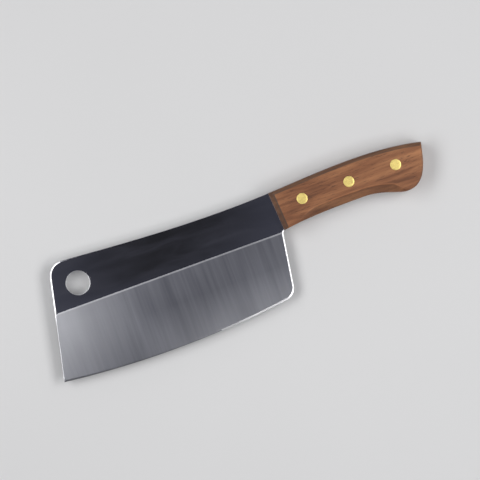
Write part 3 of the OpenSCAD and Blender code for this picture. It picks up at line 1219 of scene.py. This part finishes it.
@dataclass
class RivetRow:
    """The same half of all three rivets, set out along the handle by one node tree."""

    rivets: Rivets
    origin: Vector
    halves: Halves
    handle_t: float = 19.0
    head_steps: int = 64
    head_rings: int = 10
    shank_steps: int = 48
    rim_power: float = 9.0
    sunk: float = 0.02
    sharp: float = 40.0

    def sizes(self) -> dict[str, tuple[str, object]]:
        """Returns the tree's named inputs, each with its socket kind and value."""
        tube = self.halves is Halves.TUBE
        rivets = self.rivets
        face = 0.0 if tube else self.handle_t
        place = self.origin + Vector((*rivets.first, face)) * MM
        turn = (math.pi, 0.0, 0.0) if tube else (0.0, 0.0, 0.0)
        lengths = {
            "Head Radius": rivets.head_d / 2,
            "Head Thickness": rivets.head_t,
            "Rim Break": rivets.rim_break,
            "Shank Radius": (rivets.shank_d if tube else rivets.pin_d) / 2,
            "Bore Radius": rivets.pin_d / 2,
            "Shank Length": self.handle_t - rivets.head_t - rivets.end_gap,
        }
        return {
            "Count": ("NodeSocketInt", rivets.count),
            "Pitch": ("NodeSocketVector", (rivets.pitch * MM, 0.0, 0.0)),
            "Place": ("NodeSocketVector", tuple(place)),
            "Turn": ("NodeSocketRotation", turn),
            **{name: ("NodeSocketFloat", length * MM) for name, length in lengths.items()},
            "Hollow": ("NodeSocketBool", tube),
            "Finish": ("NodeSocketMaterial", None),
        }

    def tree(self) -> bpy.types.NodeTree:
        """Builds the node tree that makes one rivet half and repeats it.

        Returns:
            The tree, whose inputs are the names in sizes().
        """
        tree = bpy.data.node_groups.new("rivet_row", "GeometryNodeTree")
        sockets = [(name, "INPUT", kind) for name, (kind, _) in self.sizes().items()]
        for name, way, kind in (*sockets, ("Geometry", "OUTPUT", "NodeSocketGeometry")):
            tree.interface.new_socket(name=name, in_out=way, socket_type=kind)
        graph = Graph(tree)
        add, maths = graph.add, graph.maths
        given = add("NodeGroupInput").outputs
        head_r, head_t = given["Head Radius"], given["Head Thickness"]
        shank_r, shank_l = given["Shank Radius"], given["Shank Length"]
        bore_r = given["Bore Radius"]

        def lowered(mesh: Socket, depth: Socket) -> Socket:
            """Returns a mesh moved down by a depth."""
            down = add("ShaderNodeCombineXYZ", {"Z": maths("MULTIPLY", depth, -1.0)})
            moved = add("GeometryNodeTransform", {
                "Geometry": mesh, "Translation": down.outputs[0],
            })
            return moved.outputs["Geometry"]

        head = add("GeometryNodeMeshCylinder", {
            "Vertices": self.head_steps, "Side Segments": 1, "Fill Segments": self.head_rings,
            "Radius": head_r, "Depth": head_t,
        })
        position = add("GeometryNodeInputPosition").outputs[0]
        x, y, z = add("ShaderNodeSeparateXYZ", {0: position}).outputs
        square = maths("ADD", maths("POWER", x, 2.0), maths("POWER", y, 2.0))
        out = maths("POWER", square, 0.5)
        reach = maths("POWER", maths("DIVIDE", out, head_r), self.rim_power)
        drop = maths("MULTIPLY", maths("MULTIPLY", reach, given["Rim Break"]), -1.0)
        eased = add("GeometryNodeSetPosition", {
            "Geometry": head.outputs["Mesh"],
            "Selection": maths("GREATER_THAN", z, 0.0),
            "Offset": add("ShaderNodeCombineXYZ", {"Z": drop}).outputs[0],
        })
        half = maths("MULTIPLY", head_t, 0.5)
        head_down = lowered(eased.outputs["Geometry"], half)

        pin = add("GeometryNodeMeshCylinder", {
            "Vertices": self.shank_steps,
            "Radius": shank_r, "Depth": shank_l,
        })
        wall = maths("SUBTRACT", shank_r, bore_r)
        both_radii = maths("ADD", shank_r, bore_r)
        path = add("GeometryNodeCurvePrimitiveCircle", {
            "Resolution": self.shank_steps, "Radius": maths("MULTIPLY", both_radii, 0.5),
        }, mode="RADIUS")
        section = add("GeometryNodeCurvePrimitiveQuadrilateral", {
            "Width": wall, "Height": shank_l,
        }, mode="RECTANGLE")
        tube = add("GeometryNodeCurveToMesh", {
            "Curve": path.outputs["Curve"], "Profile Curve": section.outputs["Curve"],
        })
        shank = add("GeometryNodeSwitch", {
            "Switch": given["Hollow"], "False": pin.outputs["Mesh"], "True": tube.outputs["Mesh"],
        }, input_type="GEOMETRY")
        middle = maths("ADD", maths("MULTIPLY", shank_l, 0.5), self.sunk * MM)
        shank_down = lowered(shank.outputs["Output"], middle)

        both = add("GeometryNodeJoinGeometry")
        for part in (head_down, shank_down):
            tree.links.new(part, both.inputs["Geometry"])
        row = add("GeometryNodeMeshLine", {
            "Count": given["Count"], "Start Location": given["Place"], "Offset": given["Pitch"],
        }, mode="OFFSET")
        repeated = add("GeometryNodeInstanceOnPoints", {
            "Points": row.outputs["Mesh"], "Instance": both.outputs["Geometry"],
            "Rotation": given["Turn"],
        })
        real = add("GeometryNodeRealizeInstances", {"Geometry": repeated.outputs["Instances"]})
        dressed = add("GeometryNodeSetMaterial", {
            "Geometry": real.outputs["Geometry"], "Material": given["Finish"],
        })
        add("NodeGroupOutput", {"Geometry": dressed.outputs["Geometry"]})
        return tree

    def build(self, finish: Material) -> bpy.types.Object:
        """Builds and dresses the row, as a plain mesh.

        Args:
            finish: The brass material.

        Returns:
            The finished piece.
        """
        kind = self.halves.name.lower()
        name = f"rivet_{kind}_halves"
        carrier = placed(f"{name}_carrier", bpy.data.meshes.new(f"{name}_carrier"))
        modifier = carrier.modifiers.new("rivet_row", "NODES")
        modifier.node_group = self.tree()
        values = {key: value for key, (_, value) in self.sizes().items()}
        values["Finish"] = finish
        for item in modifier.node_group.interface.items_tree:
            if item.in_out == "INPUT":
                modifier[item.identifier] = values[item.name]
        graph = bpy.context.evaluated_depsgraph_get()
        mesh = bpy.data.meshes.new_from_object(carrier.evaluated_get(graph))
        mesh.name = name
        bpy.data.objects.remove(carrier)
        work = bmesh.new()
        work.from_mesh(mesh)
        bmesh.ops.remove_doubles(work, verts=work.verts, dist=SAME_PLACE)
        bmesh.ops.recalc_face_normals(work, faces=work.faces)
        work.to_mesh(mesh)
        work.free()
        mesh.shade_smooth()
        mesh.set_sharp_from_angle(angle=math.radians(self.sharp))
        piece = placed(name, mesh)
        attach(piece, BODY)
        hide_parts(*(f"{place}_rivet_{kind}" for place in ("front", "middle", "rear")))
        LOG.info("%s: %d faces", name, len(mesh.polygons))
        return piece


# ---- The studio -----------------------------------------------------------------


@dataclass(frozen=True)
class Softbox:
    """One large soft light, aimed at the cleaver."""

    name: str
    bearing: float
    height: float
    size: tuple[float, float]
    power: float
    distance: float = 1.2

    def place(self, aim: Vector, turn: float) -> Vector:
        """Returns where the light hangs.

        Args:
            aim: The point that it looks at.
            turn: The camera's turn about Z in degrees, which the bearing starts from.

        Returns:
            The place, in metres.
        """
        round_z, up = math.radians(self.bearing - turn), math.radians(self.height)
        flat = Vector((math.cos(round_z), math.sin(round_z), 0)) * math.cos(up)
        return aim + (flat + Vector((0, 0, math.sin(up)))) * self.distance


@dataclass
class Studio:
    """The pale sheet, the soft light round it and the camera above.

    The room is given in rings round the overhead axis, by their angle from it.
    """

    turn: float = 19.95
    aim: tuple[float, float, float] = (0.00424, 0.01497, 0.011)
    view_w: float = 0.3692
    lens: float = 180.0
    sensor: float = 36.0
    sheet_w: float = 6.0
    sheet_rows: int = 12
    sheet_gap: float = 0.0001
    overhead_axis: tuple[float, float, float] = (-0.0275, 0.0099, 0.9996)
    horizon: float = 90.0
    overhead: tuple[tuple[float, Colour], ...] = (
        (0.0, (0.020, 0.020, 0.021)),
        (1.4, (0.024, 0.024, 0.027)),
        (3.5, (0.078, 0.080, 0.106)),
        (6.1, (0.088, 0.087, 0.11)),
        (36.0, (0.08, 0.08, 0.09)),
        (52.0, (0.14, 0.14, 0.15)),
        (64.0, (0.25, 0.25, 0.255)),
        (90.0, (0.29, 0.29, 0.29)),
    )
    softboxes: tuple[Softbox, ...] = (
        Softbox("left_softbox", 175.0, 55.0, (1.2, 0.55), 8.2),
        Softbox("right_softbox", 4.0, 53.0, (1.1, 0.5), 8.0),
        Softbox("heel_softbox", -60.0, 58.0, (0.16, 0.1), 0.4),
    )

    def sheet(self, finish: Material) -> bpy.types.Object:
        """Lays the sheet level under the handle's far side, which the cleaver rests on."""
        half, rows = self.sheet_w / 2, self.sheet_rows
        ticks = [half * (2 * i / rows - 1) for i in range(rows + 1)]
        points = [(x, y, -self.sheet_gap) for y in ticks for x in ticks]
        n = rows + 1
        faces = [
            (r * n + c, r * n + c + 1, (r + 1) * n + c + 1, (r + 1) * n + c)
            for r in range(rows) for c in range(rows)
        ]
        mesh = bpy.data.meshes.new("pale_sheet")
        mesh.from_pydata(points, [], faces)
        mesh.materials.append(finish)
        sheet = placed("pale_sheet", mesh)
        return sheet

    def surroundings(self) -> None:
        """Lights the scene evenly, with the dim patch overhead that a camera makes."""
        world = bpy.data.worlds.new("soft_room")
        world.use_nodes = True
        graph = Graph(world.node_tree)
        level = graph.add("ShaderNodeVectorMath", {
            0: graph.add("ShaderNodeTexCoord").outputs["Generated"],
            1: Vector(self.overhead_axis).normalized(),
        }, operation="DOT_PRODUCT")
        angle = graph.maths("ARCCOSINE", level.outputs["Value"])
        share = graph.maths("DIVIDE", angle, math.radians(self.horizon))
        stops = [(degrees / self.horizon, colour) for degrees, colour in self.overhead]
        glow = graph.add("ShaderNodeBackground", {
            "Color": graph.ramp(share, stops), "Strength": 1.0,
        })
        graph.add("ShaderNodeOutputWorld", {"Surface": glow.outputs[0]})
        bpy.context.scene.world = world

    def lights(self) -> None:
        """Hangs the softboxes."""
        target = Vector(self.aim)
        for box in self.softboxes:
            light = bpy.data.lights.new(box.name, "AREA")
            light.shape = "RECTANGLE"
            light.size, light.size_y = box.size
            light.energy = box.power
            lamp = placed(box.name, light)
            lamp.location = box.place(target, self.turn)
            lamp.rotation_euler = (target - lamp.location).to_track_quat("-Z", "Y").to_euler()
            lamp.visible_camera = False

    def camera(self) -> None:
        """Hangs the camera straight above, turned so that the handle rises to the right."""
        data = bpy.data.cameras.new("overhead_camera")
        data.lens, data.sensor_width = self.lens, self.sensor
        x, y, z = self.aim
        camera = placed("overhead_camera", data)
        camera.location = (x, y, z + self.view_w * self.lens / self.sensor)
        camera.rotation_euler = (0.0, 0.0, -math.radians(self.turn))
        scene = bpy.context.scene
        scene.camera = camera
        scene.view_settings.view_transform = "Standard"
        scene.view_settings.look = "None"


def main() -> None:
    """Builds the cleaver and its studio, in order, and reports each piece."""
    plan, rivets = Outlines(), Rivets()
    low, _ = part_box("blade")
    toe = plan.meets_belly(Point((0, 0)), plan.toe_lean)
    origin = Vector((low.x - toe.x * MM, low.y + plan.bevel_h * MM, 0.0))
    LOG.info("drawing origin at %s", tuple(round(c / MM, 3) for c in origin))

    steel = [PolishedSteel().material(), SatinSteel(origin.y).material(), BrightEdge().material()]
    wood = [OiledWood().material()]
    brass = BrushedBrass().material()
    Blade(plan, rivets, origin).build(steel)
    for side in Side:
        HandleScale(plan, rivets, origin, side).build(wood)
    for halves in Halves:
        RivetRow(rivets, origin, halves).build(brass)

    studio = Studio()
    studio.sheet(PaleSweep().material())
    studio.surroundings()
    studio.lights()
    studio.camera()


if __name__ == "__main__":
    main()
